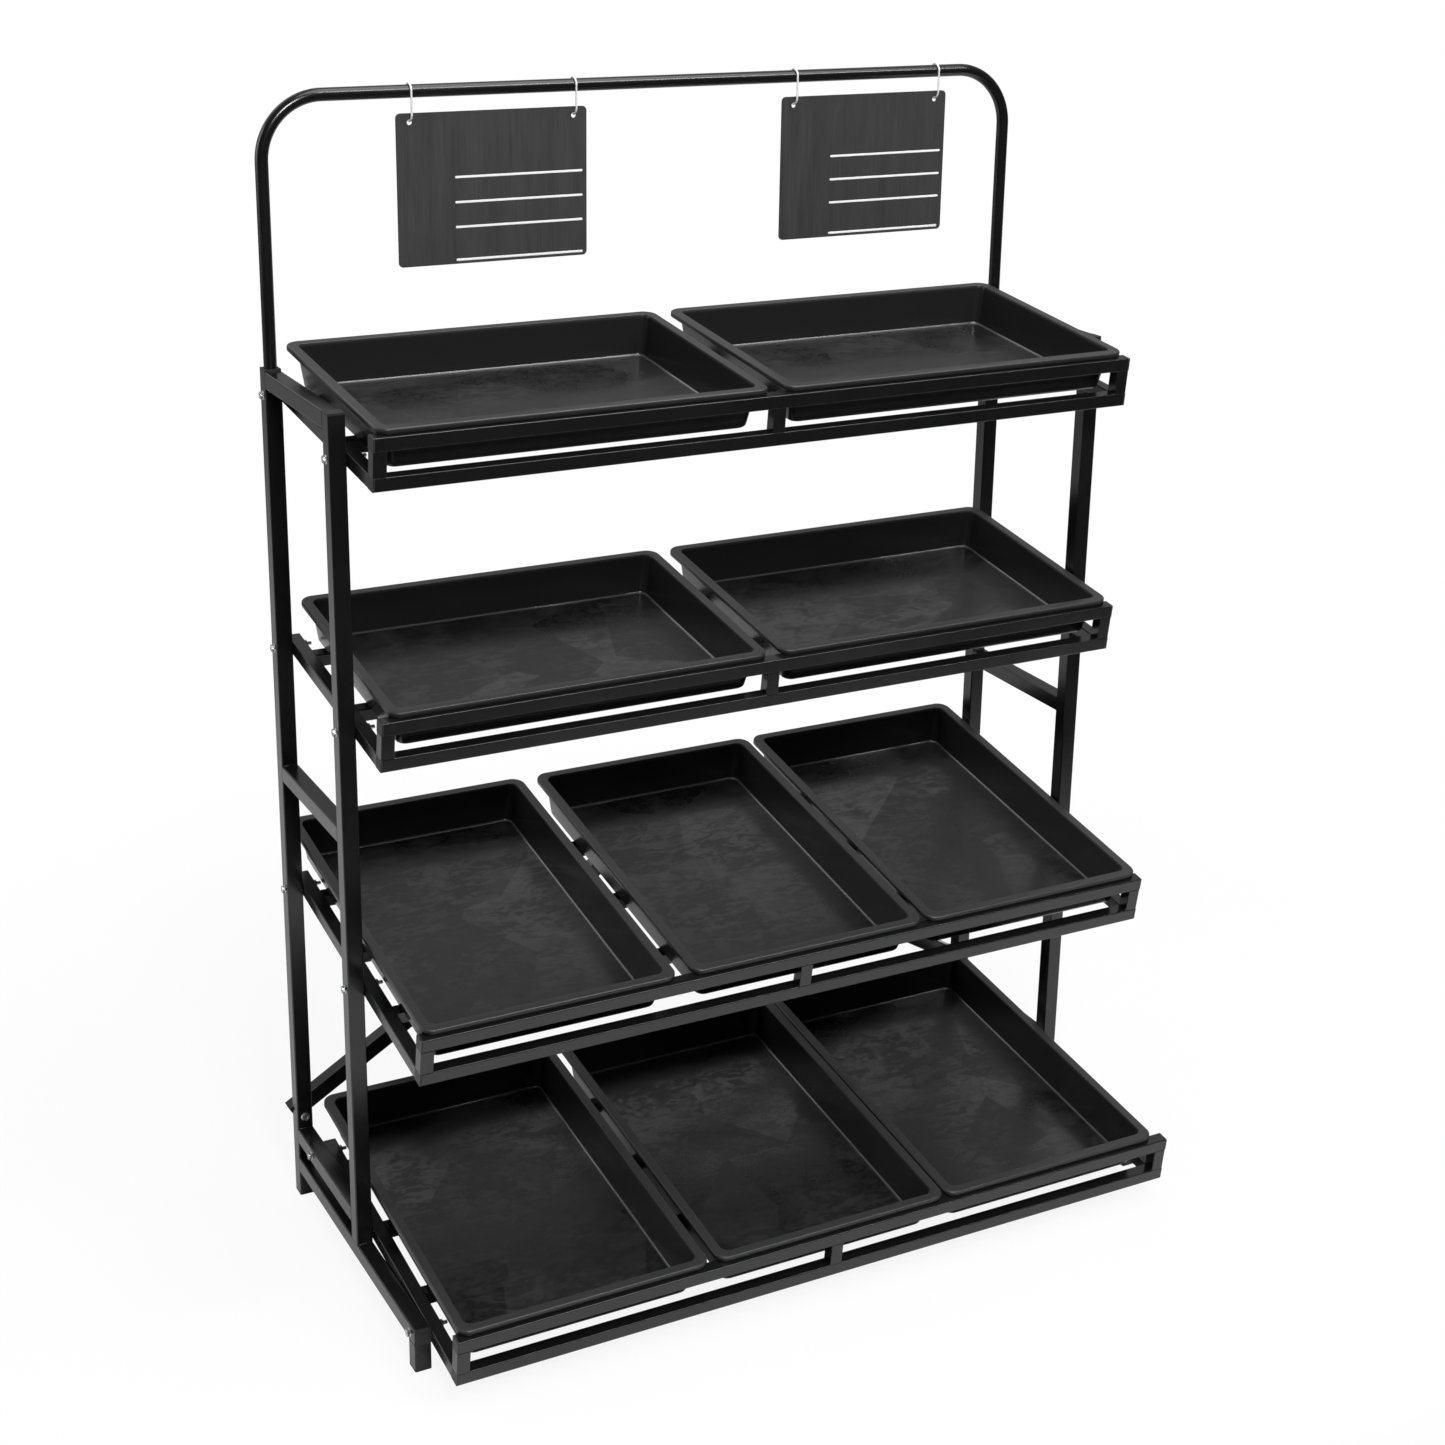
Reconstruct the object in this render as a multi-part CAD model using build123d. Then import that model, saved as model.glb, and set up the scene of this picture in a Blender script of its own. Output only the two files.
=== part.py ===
from build123d import *
import math
import os

os.makedirs("parts", exist_ok=True)

# A free-standing display rack: two welded side frames carry four sloping shelf frames, which hold lift-out trays.
# Millimetres. X runs across the rack, Y to its back, Z up. The rear posts' back face is the working Y = 0.

# side frames
frame_width = 1270.0
tube = 25.0
tube_wall = 1.5
tube_corner = 2.0
post_height = 1350.0
post_gap = 250.0
mid_rung_top = 742.0
low_rung_top = 120.0
rail_top = 68.0
plug_head = 3.0
plug_stub = 8.0
plug_clearance = 0.2

# shelf frames
bar = 20.0
bar_wall = 1.5
bar_corner = 1.5
lip_height = 76.0
cross_bar_from_back = 68.0
short_bar_pitch = 182.0
long_bar_pitch = 159.0
short_shelf_past_tray = 15.0
long_shelf_short_of_tray = 50.0
low_shelf_short_of_tray = 22.0
short_shelf_tail = 17.0
long_shelf_tail = 24.5
low_shelf_tail = 16.0
low_shelf_reach = 118.0
shelf_1_bolt_below_top = 36.0
shelf_1_fall = 29.0
shelf_2_bolt_height = 928.0
shelf_2_fall = 38.0
shelf_3_bolt_height = 534.0
shelf_3_fall = 44.0
low_bolt_from_post = 65.0
rail_bolt_from_end = 20.0

# trays: two lengthwise or three crosswise fill the width between the side frames, but for the room left over
pair_room = 40.0
trio_room = 41.0
tray_height = 64.5
tray_wall = 2.5
tray_rim = 15.0
tray_taper = 10.0
tray_skirt = 8.0
tray_corner = 20.0
tray_floor_fillet = 5.0
tray_base_fillet = 7.0
tray_rim_fillet = 1.2
tray_from_lip = 7.0
tray_seat_gap = 0.3
tray_gaps = [(8.0, 26.0), (14.0, 22.0), (5.0, 24.0, 9.0), (5.0, 12.0, 3.0)]

# header arch
arch_tube = 19.0
arch_wall = 1.5
arch_rise = 387.0
arch_bend = 90.0
arch_fit = 0.2
bush_depth = 15.0

# hanging signs
sign_width = 300.0
sign_height = 222.0
sign_thickness = 2.0
sign_corner = 7.0
sign_hole = 8.0
sign_hole_from_side = 21.0
sign_hole_from_top = 13.0
left_sign_from_end = 362.0
right_sign_from_end = 275.5
hook_wire = 3.0
hook_drop = 31.0
hook_gap = 0.3
hook_hole_gap = 0.6
hook_top_tail = 8.0
hook_low_tail_angle = 55.0

# rear brace
brace_bolt_height = 140.0
brace_apex_height = 515.0
brace_end_margin = 13.0

# fasteners
bolt = 6.0
bolt_clearance = 0.25
bolt_head = 10.0
bolt_head_height = 4.0
bolt_flange = 14.0
bolt_flange_thickness = 1.2
bolt_spare = 12.0
nut_height = 5.0

cut_overrun = 5.0

# places that follow from the sizes
inner_half = frame_width / 2 - tube
post_x = frame_width / 2 - tube / 2
rear_post_y = -tube / 2
front_post_y = -(tube + post_gap + tube / 2)
rail_bottom = rail_top - tube
arch_top_z = post_height + arch_rise
hook_radius = arch_tube / 2 + hook_gap + hook_wire / 2
hook_bottom_z = arch_top_z - hook_drop - hook_radius
shelf_1_bolt_height = post_height - shelf_1_bolt_below_top
tray_length = inner_half - pair_room / 2
tray_width = (2 * inner_half - trio_room) / 3
short_shelf_depth = tray_width + short_shelf_past_tray
long_shelf_depth = tray_length - long_shelf_short_of_tray
low_shelf_depth = tray_length - low_shelf_short_of_tray
low_span = low_shelf_depth - low_shelf_tail - low_shelf_reach
low_run = math.sqrt(low_span**2 - (low_rung_top - rail_top)**2)
rail_reach = tube + low_bolt_from_post + low_run + rail_bolt_from_end

parts = {}


# A square tube from start to end, with two of its faces square to X, or square to Y where it leans across the rack.
def square_tube(start, end, size, wall, corner):
    path = Vector(*end) - Vector(*start)
    across = (0, 1, 0) if abs(path.X) > 0 else (1, 0, 0)
    section = RectangleRounded(size, size, corner) - Rectangle(size - 2 * wall, size - 2 * wall)
    return extrude(Plane(origin=start, x_dir=across, z_dir=path) * section, amount=path.length)


def frame_tube(start, end):
    return square_tube(start, end, tube, tube_wall, tube_corner)


def shelf_tube(start, end):
    return square_tube(start, end, bar, bar_wall, bar_corner)


# The plug that closes a square tube: its head lies outside the end at place, and its stub goes down the tube.
def tube_plug(place, outward, size, wall, corner):
    face = Plane(origin=place, x_dir=(1, 0, 0) if abs(Vector(*outward).X) == 0 else (0, 1, 0), z_dir=outward)
    stub_side = size - 2 * wall - 2 * plug_clearance
    head = extrude(face * RectangleRounded(size, size, corner), amount=plug_head)
    return head + extrude(face * Rectangle(stub_side, stub_side), amount=-plug_stub)


def bolt_hole(place, along, length):
    hole = Circle(bolt / 2 + bolt_clearance)
    start = Vector(*place) - Vector(*along) * cut_overrun
    return extrude(Plane(origin=start, z_dir=along) * hole, amount=length + 2 * cut_overrun)


# A flange bolt: place is on the face that the flange bears on, and the shank runs the other way, along.
def flange_bolt(place, along, grip):
    seat = Plane(origin=place, x_dir=(0, 0, 1), z_dir=along)
    flange = extrude(seat * Circle(bolt_flange / 2), amount=-bolt_flange_thickness)
    hexagon = RegularPolygon(bolt_head / 2, 6, major_radius=False)
    head = extrude(seat * hexagon, amount=-(bolt_flange_thickness + bolt_head_height))
    return flange + head + extrude(seat * Circle(bolt / 2), amount=grip + bolt_spare)


def hex_nut(place, along):
    seat = Plane(origin=place, x_dir=(0, 0, 1), z_dir=along)
    hexagon = RegularPolygon(bolt_head / 2, 6, major_radius=False)
    return extrude(seat * (hexagon - Circle(bolt / 2 + bolt_clearance)), amount=nut_height)


# Each shelf hangs on two bolts a side. The line through them sets its slope, and its own axes start at the lip:
# X across, Y back along the side rails, Z square to them. The tail is what is left of a side rail behind its bolt.
class Shelf:
    def __init__(self, rear_bolt, front_bolt, tail, depth, pitch):
        self.bolts = (rear_bolt, front_bolt)
        run = rear_bolt[0] - front_bolt[0]
        fall = rear_bolt[1] - front_bolt[1]
        reach = depth - tail - math.hypot(run, fall)
        self.slope = math.degrees(math.atan2(fall, run))
        self.depth = depth
        self.bolt_places = (depth - tail, reach)
        turned = Location((0, 0, 0), (self.slope, 0, 0))
        from_bolt = turned * Location((0, -reach, -bar / 2))
        self.place = Location((0, front_bolt[0], front_bolt[1])) * from_bolt
        last = depth - cross_bar_from_back
        self.cross_bars = [last - step * pitch for step in range(3) if last - step * pitch > 2 * bar]


low_rear_bolt = (-(tube + low_bolt_from_post), low_rung_top - tube / 2)
low_front_bolt = (-(rail_reach - rail_bolt_from_end), rail_top - tube / 2)
shelves = [
    Shelf((rear_post_y, shelf_1_bolt_height), (front_post_y, shelf_1_bolt_height - shelf_1_fall),
          short_shelf_tail, short_shelf_depth, short_bar_pitch),
    Shelf((rear_post_y, shelf_2_bolt_height), (front_post_y, shelf_2_bolt_height - shelf_2_fall),
          short_shelf_tail, short_shelf_depth, short_bar_pitch),
    Shelf((rear_post_y, shelf_3_bolt_height), (front_post_y, shelf_3_bolt_height - shelf_3_fall),
          long_shelf_tail, long_shelf_depth, long_bar_pitch),
    Shelf(low_rear_bolt, low_front_bolt, low_shelf_tail, low_shelf_depth, long_bar_pitch),
]


def side_frames():
    brace_hole = (rear_post_y - tube / 2, brace_bolt_height)
    for side, sign in (("left", -1), ("right", 1)):
        x = sign * post_x
        inward = (-sign, 0, 0)
        outer = sign * frame_width / 2
        rear = frame_tube((x, rear_post_y, plug_head), (x, rear_post_y, post_height))
        front = frame_tube((x, front_post_y, rail_top), (x, front_post_y, post_height - plug_head))
        for shelf in shelves[:3]:
            (rear_y, rear_z), (front_y, front_z) = shelf.bolts
            rear -= bolt_hole((outer, rear_y, rear_z), inward, tube)
            front -= bolt_hole((outer, front_y, front_z), inward, tube)
        rear -= bolt_hole((x, brace_hole[0], brace_hole[1]), (0, 1, 0), tube)
        low = frame_tube((x, -tube, low_rung_top - tube / 2), (x, -(tube + post_gap), low_rung_top - tube / 2))
        low -= bolt_hole((outer, *low_rear_bolt), inward, tube)
        rail_end = -(rail_reach - plug_head)
        rail = frame_tube((x, -tube, rail_top - tube / 2), (x, rail_end, rail_top - tube / 2))
        rail -= bolt_hole((outer, *low_front_bolt), inward, tube)
        foot_y = -(rail_reach - tube / 2)
        parts[f"{side}_rear_post"] = [rear]
        parts[f"{side}_front_post"] = [front]
        for name, top in (("top_rung", post_height), ("mid_rung", mid_rung_top)):
            z = top - tube / 2
            parts[f"{side}_{name}"] = [frame_tube((x, -tube, z), (x, -(tube + post_gap), z))]
        parts[f"{side}_low_rung"] = [low]
        parts[f"{side}_bottom_rail"] = [rail]
        parts[f"{side}_front_foot"] = [frame_tube((x, foot_y, plug_head), (x, foot_y, rail_bottom))]
        down, up, forward = (0, 0, -1), (0, 0, 1), (0, -1, 0)
        parts.setdefault("foot_plugs", []).extend([
            tube_plug((x, rear_post_y, plug_head), down, tube, tube_wall, tube_corner),
            tube_plug((x, foot_y, plug_head), down, tube, tube_wall, tube_corner),
        ])
        parts.setdefault("frame_end_plugs", []).extend([
            tube_plug((x, front_post_y, post_height - plug_head), up, tube, tube_wall, tube_corner),
            tube_plug((x, rail_end, rail_top - tube / 2), forward, tube, tube_wall, tube_corner),
        ])


def shelf_frames():
    plugs = []
    for number, shelf in enumerate(shelves, start=1):
        end = inner_half - plug_head
        side_x = inner_half - bar / 2
        middle = bar / 2
        top = lip_height - bar / 2
        lip = shelf_tube((-end, middle, top), (end, middle, top))
        front = shelf_tube((-end, middle, middle), (end, middle, middle))
        sides = []
        for sign in (-1, 1):
            rail = shelf_tube((sign * side_x, bar, middle), (sign * side_x, shelf.depth - plug_head, middle))
            for place in shelf.bolt_places:
                rail -= bolt_hole((sign * inner_half, place, middle), (-sign, 0, 0), bar)
            sides.append(rail)
            for z in (top, middle):
                plugs.append((shelf, ((sign * end, middle, z), (sign, 0, 0))))
            plugs.append((shelf, ((sign * side_x, shelf.depth - plug_head, middle), (0, 1, 0))))
        uprights = [shelf_tube((x, middle, bar), (x, middle, lip_height - bar)) for x in (-side_x, 0, side_x)]
        half = inner_half - bar
        cross = [shelf_tube((-half, place, middle), (half, place, middle)) for place in shelf.cross_bars]
        named = {"lip_rail": [lip], "front_rail": [front], "side_rails": sides,
                 "lip_uprights": uprights, "cross_bars": cross}
        for name, solids in named.items():
            parts[f"shelf_{number}_{name}"] = [shelf.place * solid for solid in solids]
    parts["shelf_end_plugs"] = [
        shelf.place * tube_plug(*where, bar, bar_wall, bar_corner) for shelf, where in plugs
    ]


# One tray, standing on the middle of its base, with its long side along X.
def tray():
    def level(inset, radius, z):
        return Pos(0, 0, z) * RectangleRounded(tray_length - 2 * inset, tray_width - 2 * inset, radius)

    opening_corner = tray_corner - tray_rim / 2
    shell_top = level(tray_rim - tray_wall, opening_corner + tray_wall, tray_height - tray_wall)
    shell_base = level(tray_rim - tray_wall + tray_taper, opening_corner + tray_wall, 0)
    shell = loft([shell_base, shell_top], ruled=True)
    shell = fillet(shell.faces().sort_by(Axis.Z)[0].edges(), tray_base_fillet)
    rim = extrude(level(0, tray_corner, tray_height - tray_skirt), amount=tray_skirt)
    rim = fillet(rim.faces().sort_by(Axis.Z)[-1].outer_wire().edges(), tray_rim_fillet)
    under = extrude(level(tray_wall, tray_corner - tray_wall, tray_height - tray_skirt),
                    amount=tray_skirt - tray_wall)
    hollow = loft([level(tray_rim + tray_taper, opening_corner, tray_wall),
                   level(tray_rim, opening_corner, tray_height)], ruled=True)
    hollow = fillet(hollow.faces().sort_by(Axis.Z)[0].edges(), tray_floor_fillet)
    return (rim - under) + shell - hollow


def trays():
    lone = tray()
    turned = Rot(0, 0, 90) * lone
    for number, (shelf, gaps) in enumerate(zip(shelves, tray_gaps), start=1):
        if len(gaps) == 2:
            names, piece, across, deep = ("left", "right"), lone, tray_length, tray_width
        else:
            names, piece, across, deep = ("left", "middle", "right"), turned, tray_width, tray_length
        x = -inner_half
        for name, gap in zip(names, gaps):
            x += gap
            seat = Location((x + across / 2, tray_from_lip + deep / 2, bar + tray_seat_gap))
            parts[f"shelf_{number}_{name}_tray"] = [shelf.place * seat * piece]
            x += across


def header_arch():
    foot = shelf_1_bolt_height + bolt / 2
    path = FilletPolyline((-post_x, rear_post_y, foot), (-post_x, rear_post_y, arch_top_z),
                          (post_x, rear_post_y, arch_top_z), (post_x, rear_post_y, foot), radius=arch_bend)
    start = Plane(origin=(-post_x, rear_post_y, foot), z_dir=(0, 0, 1))
    ring = Circle(arch_tube / 2) - Circle(arch_tube / 2 - arch_wall)
    parts["header_arch"] = [sweep(start * ring, path=path)]
    bore = Circle(arch_tube / 2 + arch_fit)
    stub_side = tube - 2 * tube_wall - 2 * plug_clearance
    for sign in (-1, 1):
        top = Plane(origin=(sign * post_x, rear_post_y, post_height), z_dir=(0, 0, 1))
        head = extrude(top * (RectangleRounded(tube, tube, tube_corner) - bore), amount=plug_head)
        stub = extrude(top * (Rectangle(stub_side, stub_side) - bore), amount=-bush_depth)
        parts.setdefault("arch_bushes", []).append(head + stub)


# A wire hook over the arch: round the back and top of the tube, down its front, and back through the sign's hole.
def sign_hook(x):
    back = rear_post_y + hook_radius
    front = rear_post_y - hook_radius
    low_z = arch_top_z - hook_drop
    turn = math.radians(hook_low_tail_angle)
    tip = (x, rear_post_y + hook_radius * math.sin(turn), low_z - hook_radius * math.cos(turn))
    run = Line((x, back, arch_top_z - hook_top_tail), (x, back, arch_top_z))
    over = ThreePointArc((x, back, arch_top_z), (x, rear_post_y, arch_top_z + hook_radius), (x, front, arch_top_z))
    down = Line((x, front, arch_top_z), (x, front, low_z))
    lower = ThreePointArc((x, front, low_z), (x, rear_post_y, low_z - hook_radius), tip)
    start = Plane(origin=(x, back, arch_top_z - hook_top_tail), z_dir=(0, 0, 1))
    return sweep(start * Circle(hook_wire / 2), path=Wire([run, over, down, lower]))


def signs():
    hole_x = sign_width / 2 - sign_hole_from_side
    hole_z = hook_bottom_z + hook_wire / 2 + hook_hole_gap - sign_hole / 2
    middle_z = hole_z + sign_hole_from_top - sign_height / 2
    left_x, right_x = left_sign_from_end - frame_width / 2, frame_width / 2 - right_sign_from_end
    for side, x in (("left", left_x), ("right", right_x)):
        face = Plane(origin=(x, rear_post_y - sign_thickness / 2, middle_z), x_dir=(1, 0, 0), z_dir=(0, 1, 0))
        sheet = RectangleRounded(sign_width, sign_height, sign_corner)
        plate = extrude(face * sheet, amount=sign_thickness)
        for sign in (-1, 1):
            start = Plane(origin=(x + sign * hole_x, rear_post_y - cut_overrun, hole_z), z_dir=(0, 1, 0))
            plate -= extrude(start * Circle(sign_hole / 2), amount=2 * cut_overrun)
            parts.setdefault(f"{side}_sign_hooks", []).append(sign_hook(x + sign * hole_x))
        parts[f"{side}_sign_plate"] = [plate]


# Two tubes behind the rear posts, from a bolt near each foot up to a mitre in the middle.
def rear_braces():
    y = tube / 2
    rise = brace_apex_height - brace_bolt_height
    length = math.hypot(post_x, rise)
    for side, sign in (("left", -1), ("right", 1)):
        along = Vector(-sign * post_x / length, 0, rise / length)
        foot = Vector(sign * post_x, y, brace_bolt_height)
        start = foot - along * brace_end_margin
        apex = foot + along * (length + tube)
        brace = frame_tube(tuple(start), tuple(apex))
        half = Pos(sign * frame_width / 2, 0, post_height / 2) * Box(frame_width, post_height, post_height)
        brace = brace & half
        brace -= bolt_hole((sign * post_x, 0, brace_bolt_height), (0, 1, 0), tube)
        parts[f"{side}_rear_brace"] = [brace]


def fasteners():
    bolts, nuts = [], []
    grip = tube + bar
    for sign in (-1, 1):
        for shelf in shelves:
            for y, z in shelf.bolts:
                bolts.append(flange_bolt((sign * frame_width / 2, y, z), (-sign, 0, 0), grip))
                nuts.append(hex_nut((sign * (inner_half - bar), y, z), (-sign, 0, 0)))
        bolts.append(flange_bolt((sign * post_x, -tube, brace_bolt_height), (0, 1, 0), 2 * tube))
        nuts.append(hex_nut((sign * post_x, tube, brace_bolt_height), (0, 1, 0)))
    parts["frame_bolts"] = bolts
    parts["frame_nuts"] = nuts


side_frames()
shelf_frames()
trays()
header_arch()
signs()
rear_braces()
fasteners()

# The rack's own origin is on the floor, in the middle of its outer box.
solids = [piece.solid() for pieces in parts.values() for piece in pieces]
box = Compound(solids).bounding_box()
to_origin = Location((0, -(box.min.Y + box.max.Y) / 2, 0))
for name, pieces in parts.items():
    moved = [to_origin * piece.solid() for piece in pieces]
    export_step(moved[0] if len(moved) == 1 else Compound(moved), f"parts/{name}.step")

print("nodes", len(parts), "size", tuple(round(v, 2) for v in box.size))
print("Y of the rear posts' back face", to_origin.position.Y, "rail reach", rail_reach)
for number, shelf in enumerate(shelves, start=1):
    print("shelf", number, "slope", round(shelf.slope, 3), "bolts along it", shelf.bolt_places, shelf.cross_bars)
print("hook axis height", arch_top_z, "sign hole axis height", round(hook_bottom_z, 3))
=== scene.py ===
import bpy
import math
import numpy as np
from mathutils import Matrix, Vector


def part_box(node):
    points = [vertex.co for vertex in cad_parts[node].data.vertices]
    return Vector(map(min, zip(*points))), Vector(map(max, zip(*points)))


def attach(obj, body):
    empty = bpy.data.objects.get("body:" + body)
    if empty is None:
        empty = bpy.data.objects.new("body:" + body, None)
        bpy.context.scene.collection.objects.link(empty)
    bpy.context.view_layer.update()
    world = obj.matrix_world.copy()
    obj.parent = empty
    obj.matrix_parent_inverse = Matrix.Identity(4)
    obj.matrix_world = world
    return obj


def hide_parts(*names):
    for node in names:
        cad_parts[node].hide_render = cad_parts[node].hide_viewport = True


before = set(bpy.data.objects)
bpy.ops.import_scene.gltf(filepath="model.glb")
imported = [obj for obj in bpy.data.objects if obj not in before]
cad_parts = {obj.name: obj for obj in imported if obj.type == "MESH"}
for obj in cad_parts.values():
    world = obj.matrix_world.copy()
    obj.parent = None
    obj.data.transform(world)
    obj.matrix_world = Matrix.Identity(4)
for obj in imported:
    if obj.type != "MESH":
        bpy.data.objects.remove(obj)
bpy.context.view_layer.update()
print("rack loaded")

# Sizes that the CAD fixes, repeated here in metres. The rear posts' back face gives the shift in Y.
rack = {
    "width": 1.270, "tube": 0.025, "postHeight": 1.350, "postGap": 0.250, "midRungTop": 0.742,
    "lowRungTop": 0.120, "railTop": 0.068, "railReach": 0.5409, "bar": 0.020, "lipHeight": 0.076,
    "crossBarFromBack": 0.068, "braceBolt": 0.140, "braceApex": 0.515,
}
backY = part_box("left_rear_post")[1].y
rearPostY = backY - rack["tube"] / 2
frontPostY = backY - rack["tube"] * 1.5 - rack["postGap"]
innerHalf = rack["width"] / 2 - rack["tube"]
postX = rack["width"] / 2 - rack["tube"] / 2


# Shader maths
# A socket that can stand in a sum, on either side of the sign. Each operator adds one Math node.
class Value:
    def __init__(self, net, socket):
        self.net = net
        self.socket = socket

    def sum(self, kind, first, second):
        return self.net.node("ShaderNodeMath", {"operation": kind}, {0: first, 1: second})

    def __add__(self, other):
        return self.sum("ADD", self, other)

    def __radd__(self, other):
        return self.sum("ADD", other, self)

    def __sub__(self, other):
        return self.sum("SUBTRACT", self, other)

    def __rsub__(self, other):
        return self.sum("SUBTRACT", other, self)

    def __mul__(self, other):
        return self.sum("MULTIPLY", self, other)

    def __rmul__(self, other):
        return self.sum("MULTIPLY", other, self)


# A material or world with its node tree. node() adds any node: settings first, then values or links.
class Net:
    def __init__(self, owner):
        self.owner = owner
        owner.use_nodes = True
        self.tree = owner.node_tree
        self.tree.nodes.clear()

    def node(self, kind, settings=None, sockets=None, output=0):
        made = self.tree.nodes.new(kind)
        for name, value in (settings or {}).items():
            if name == "stops":
                black, white = made.color_ramp.elements
                black.position, white.position = value
            else:
                setattr(made, name, value)
        for name, value in (sockets or {}).items():
            if isinstance(value, Value):
                self.tree.links.new(value.socket, made.inputs[name])
            else:
                made.inputs[name].default_value = value
        return Value(self, made.outputs[output]) if made.outputs else made

    # The piece's own coordinates, so that a pattern moves with its piece.
    def place(self, scale=(1, 1, 1)):
        point = self.node("ShaderNodeTexCoord", output="Object")
        return self.node("ShaderNodeMapping", {}, {"Vector": point, "Scale": scale})

    def noise(self, size, detail, rough, stretch=(1, 1, 1), distortion=0.0):
        scale = tuple(part / size for part in stretch)
        return self.node("ShaderNodeTexNoise", {}, {
            "Vector": self.place(scale), "Scale": 1.0, "Detail": detail, "Roughness": rough,
            "Distortion": distortion,
        })

    def cells(self, size):
        point = self.place((1 / size, 1 / size, 1 / size))
        return self.node("ShaderNodeTexVoronoi", {}, {"Vector": point, "Scale": 1.0}, output="Color")

    # A straight rise from 0 at the first stop to 1 at the second.
    def ramp(self, value, stops):
        return self.node("ShaderNodeValToRGB", {"stops": stops}, {0: value})

    # A smooth step: low below the first place, high above the second.
    def between(self, value, start, end, low, high):
        return self.node("ShaderNodeMapRange", {"interpolation_type": "SMOOTHSTEP"}, {
            "Value": value, "From Min": start, "From Max": end, "To Min": low, "To Max": high,
        })

    # A colour between two others. Each of the two is a link, or a plain red, green and blue.
    def blend(self, factor, first, second):
        first, second = (end if isinstance(end, Value) else (*end, 1) for end in (first, second))
        return self.node("ShaderNodeMix", {"data_type": "RGBA"}, {0: factor, 6: first, 7: second}, output=2)

    def bump(self, height, depth):
        return self.node("ShaderNodeBump", {}, {"Height": height, "Distance": depth, "Strength": 1.0})

    def attribute(self, name):
        return self.node("ShaderNodeAttribute", {"attribute_name": name}, output="Fac")

    def finish(self, sockets):
        surface = self.node("ShaderNodeBsdfPrincipled", {}, sockets)
        self.node("ShaderNodeOutputMaterial", {}, {"Surface": surface})
        return self.owner


def newNet(name):
    return Net(bpy.data.materials.new(name))


# Black powder coat: a fine orange peel, a slow drift of gloss, and sparse pale dust in the film.
powder = {
    "base": (0.0065, 0.0065, 0.0068), "dustAndHighlight": (0.014, 0.014, 0.0145), "gloss": 0.18, "dull": 0.28,
    "ior": 1.52, "peel": 0.0022, "peelDepth": 0.00001, "drift": 0.16, "driftStops": (0.35, 0.75),
    "driftDirt": 0.3, "speck": 0.0035, "speckStops": (0.66, 0.74), "speckDirt": 0.25, "speckDull": 0.04,
}


def powderCoat():
    net = newNet("blackPowderCoat")
    peel = net.noise(powder["peel"], 2.0, 0.45)
    drift = net.noise(powder["drift"], 3.0, 0.6)
    speck = net.ramp(net.noise(powder["speck"], 2.0, 0.7), powder["speckStops"])
    haze = net.ramp(drift, powder["driftStops"])
    dirt = speck * powder["speckDirt"] + haze * powder["driftDirt"]
    return net.finish({
        "Base Color": net.blend(dirt, powder["base"], powder["dustAndHighlight"]),
        "Roughness": (haze * (powder["dull"] - powder["gloss"]) + powder["gloss"]
                      + speck * powder["speckDull"]),
        "Normal": net.bump(peel, powder["peelDepth"]),
        "IOR": powder["ior"],
    })


# Moulded black tray plastic. The floor is smeared with soft clouds, sharp-edged patches, straight-edged
# wedges and scratches. Each smear is a little paler and duller, and the film over the plastic is thinner
# there. A pale line in the floor's round is a painted highlight. The walls are painted lighter than the
# floor, as painted light, and the rim is painted paler for its sheen, in streaks where it is rubbed.
trayFinish = {
    "wall": (0.0125, 0.0125, 0.0128), "base": (0.0032, 0.0032, 0.0034), "scuffed": (0.021, 0.021, 0.0215),
    "rim": (0.032, 0.032, 0.0325), "roundHighlight": (0.07, 0.07, 0.07), "ior": 1.45,
    "gloss": 0.17, "dull": 0.40, "blur": 0.08, "rimDull": 0.18,
    "film": 0.75, "filmLost": 1.6, "filmInRound": 0.6, "filmRoughness": 0.2,
    "cloud": 0.11, "cloudStops": (0.40, 0.66), "cloudPart": 0.22,
    "patch": 0.035, "patchStretch": (1, 2.2, 2.2), "patchStops": (0.45, 0.54), "patchPart": 0.32,
    "patchLeast": 0.5,
    "wedge": 0.15, "wedgeStops": (0.30, 0.70), "wedgePart": 0.36,
    "streak": 0.03, "streakStretch": (1.0, 5.0, 5.0), "scratchStops": (0.58, 0.63), "scratchPart": 0.12,
    "roundHighlightLeast": 0.6, "roundHighlightStreaks": 0.5, "rimSheenLeast": 0.7, "rubStreaks": 0.3,
    "grain": 0.0011, "grainDepth": 0.00003, "warp": 0.07, "warpDepth": 0.0006,
}


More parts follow.
